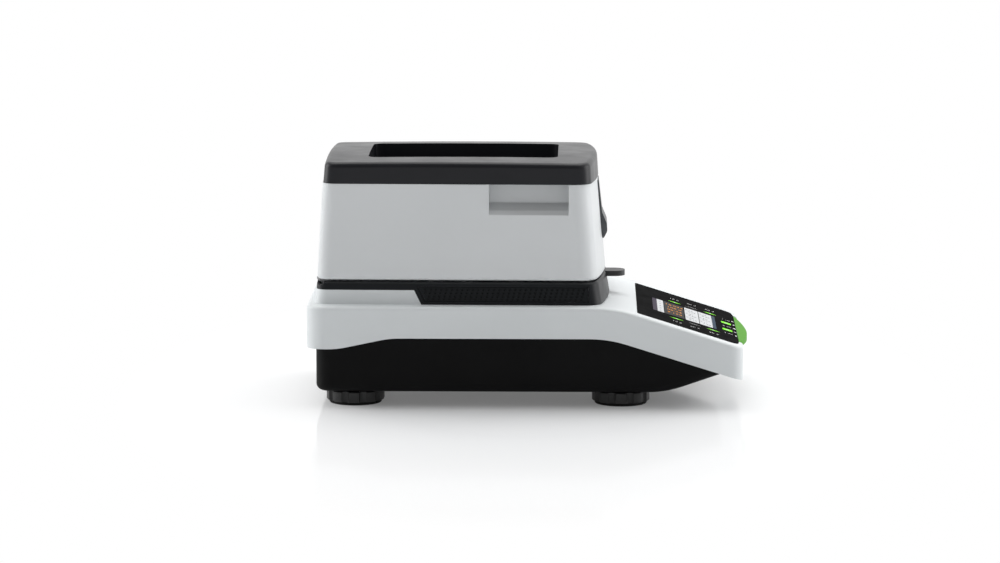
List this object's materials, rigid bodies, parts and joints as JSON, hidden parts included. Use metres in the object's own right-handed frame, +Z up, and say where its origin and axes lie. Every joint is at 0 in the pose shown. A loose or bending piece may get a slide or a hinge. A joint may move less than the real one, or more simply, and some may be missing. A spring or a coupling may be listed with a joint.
{
  "type": "halogen moisture analyzer",
  "caption": "Benchtop halogen moisture analyzer with a hinged heating hood, weighing chamber with sample pan, sloped touch panel and levelling feet.",
  "frame": {"origin": "middle of the overall box, on the table plane under the feet", "axes": "+X points to the display end, +Y to the left side seen by the user, +Z up"},
  "size_m": [0.38, 0.205, 0.2112],
  "materials": {
    "white_housing": "satin moulded",
    "hood_housing": "satin moulded",
    "black_tray": "fine texture",
    "vent_plastic": "fine texture",
    "cap_plastic": "satin",
    "well_plastic": "matt",
    "grip_plastic": "satin",
    "foot_plastic": "satin",
    "foot_rubber": "matt",
    "steel_sheet": "brushed",
    "chamber_steel": "brushed",
    "probe_steel": "polished",
    "zinc_screws": "zinc plated",
    "zinc_sheet": "zinc plated",
    "hinge_steel": "satin",
    "hinge_pin_steel": "ground",
    "brass": "turned",
    "clear_glass": "clear",
    "gold_reflector": "polished",
    "quartz": "clear",
    "ceramic": "matt",
    "handler_plastic": "satin",
    "pan_aluminium": "drawn",
    "cast_aluminium": "machined",
    "circuit_board": "solder mask",
    "panel_glass": "gloss",
    "status_green": "gloss",
    "display_face": "gloss",
    "frame_plastic": "matt",
    "rear_plastic": "matt",
    "socket_plastic": "satin",
    "rocker_plastic": "satin",
    "nickel": "plated"
  },
  "bodies": {
    "root": {"top_casing": "white_housing", "base_tray": "black_tray", "casing_screws": "zinc_screws", "foot_inserts": "brass", "vent_ring": "vent_plastic", "vent_grille_left": "vent_plastic", "vent_grille_right": "vent_plastic", "hinge_brackets": "hinge_steel", "hinge_pins": "hinge_pin_steel", "chamber_floor": "chamber_steel", "draft_shield": "chamber_steel", "pan_handler": "handler_plastic", "load_cell_bracket": "cast_aluminium", "load_cell": "cast_aluminium", "main_board": "circuit_board", "power_supply": "circuit_board", "touch_panel": "panel_glass", "status_light": "status_green", "display_module": "display_face", "display_frame": "frame_plastic", "rear_panel": "rear_plastic", "power_inlet": "socket_plastic", "inlet_pins": "nickel", "switch_frame": "socket_plastic", "serial_port": "nickel", "usb_device_port": "nickel", "usb_host_port": "nickel"},
    "hood": {"hood_shell": "hood_housing", "hood_base_plate": "steel_sheet", "hood_plate_screws": "zinc_screws", "front_grip": "grip_plastic", "hood_cap": "cap_plastic", "well_grille": "well_plastic", "protective_glass": "clear_glass", "glass_clamp": "steel_sheet", "reflector": "gold_reflector", "halogen_lamp": "quartz", "lamp_holders": "ceramic", "temperature_probe": "probe_steel", "heat_cover": "zinc_sheet", "hinge_leaves": "hinge_steel"},
    "pan": {"pan_support": "probe_steel", "sample_pan": "pan_aluminium"},
    "rocker": {"switch_rocker": "rocker_plastic"},
    "fuse": {"fuse_drawer": "socket_plastic"},
    "foot_rear_left": {"foot_pad_rear_left": "foot_rubber"},
    "wheel_rear_left": {"foot_wheel_rear_left": "foot_plastic"},
    "foot_rear_right": {"foot_pad_rear_right": "foot_rubber"},
    "wheel_rear_right": {"foot_wheel_rear_right": "foot_plastic"},
    "foot_front_left": {"foot_pad_front_left": "foot_rubber"},
    "wheel_front_left": {"foot_wheel_front_left": "foot_plastic"},
    "foot_front_right": {"foot_pad_front_right": "foot_rubber"},
    "wheel_front_right": {"foot_wheel_front_right": "foot_plastic"}
  },
  "joints": [
    {"name": "hood_hinge", "type": "hinge", "parent": "root", "child": "hood", "pos_m": [-0.1786, 0, 0.1074], "axis": [0, -1, 0], "range_deg": [0, 65]},
    {"name": "pan_travel", "type": "slide", "parent": "root", "child": "pan", "axis": [0, 0, -1], "range_m": [0, 0.0003], "stiffness_N_per_m": 30000},
    {"name": "power_switch", "type": "hinge", "parent": "root", "child": "rocker", "pos_m": [-0.1814, 0.012, 0.0678], "axis": [0, 1, 0], "range_deg": [0, 16]},
    {"name": "fuse_slide", "type": "slide", "parent": "root", "child": "fuse", "axis": [-1, 0, 0], "range_m": [0, 0.014]},
    {"name": "foot_rear_left_height", "type": "slide", "parent": "root", "child": "foot_rear_left", "axis": [0, 0, -1], "range_m": [0, 0.006]},
    {"name": "foot_rear_left_turn", "type": "hinge", "parent": "foot_rear_left", "child": "wheel_rear_left", "pos_m": [-0.149, 0.066, 0.0026], "axis": [0, 0, -1], "range_deg": [0, 1730]},
    {"name": "foot_rear_right_height", "type": "slide", "parent": "root", "child": "foot_rear_right", "axis": [0, 0, -1], "range_m": [0, 0.006]},
    {"name": "foot_rear_right_turn", "type": "hinge", "parent": "foot_rear_right", "child": "wheel_rear_right", "pos_m": [-0.149, -0.066, 0.0026], "axis": [0, 0, -1], "range_deg": [0, 1730]},
    {"name": "foot_front_left_height", "type": "slide", "parent": "root", "child": "foot_front_left", "axis": [0, 0, -1], "range_m": [0, 0.006]},
    {"name": "foot_front_left_turn", "type": "hinge", "parent": "foot_front_left", "child": "wheel_front_left", "pos_m": [0.0794, 0.066, 0.0026], "axis": [0, 0, -1], "range_deg": [0, 1730]},
    {"name": "foot_front_right_height", "type": "slide", "parent": "root", "child": "foot_front_right", "axis": [0, 0, -1], "range_m": [0, 0.006]},
    {"name": "foot_front_right_turn", "type": "hinge", "parent": "foot_front_right", "child": "wheel_front_right", "pos_m": [0.0794, -0.066, 0.0026], "axis": [0, 0, -1], "range_deg": [0, 1730]}
  ],
  "couplings": [
    {"joint": "foot_rear_left_turn", "follows": "foot_rear_left_height", "rad_per_m": 5026.5},
    {"joint": "foot_rear_right_turn", "follows": "foot_rear_right_height", "rad_per_m": 5026.5},
    {"joint": "foot_front_left_turn", "follows": "foot_front_left_height", "rad_per_m": 5026.5},
    {"joint": "foot_front_right_turn", "follows": "foot_front_right_height", "rad_per_m": 5026.5}
  ]
}
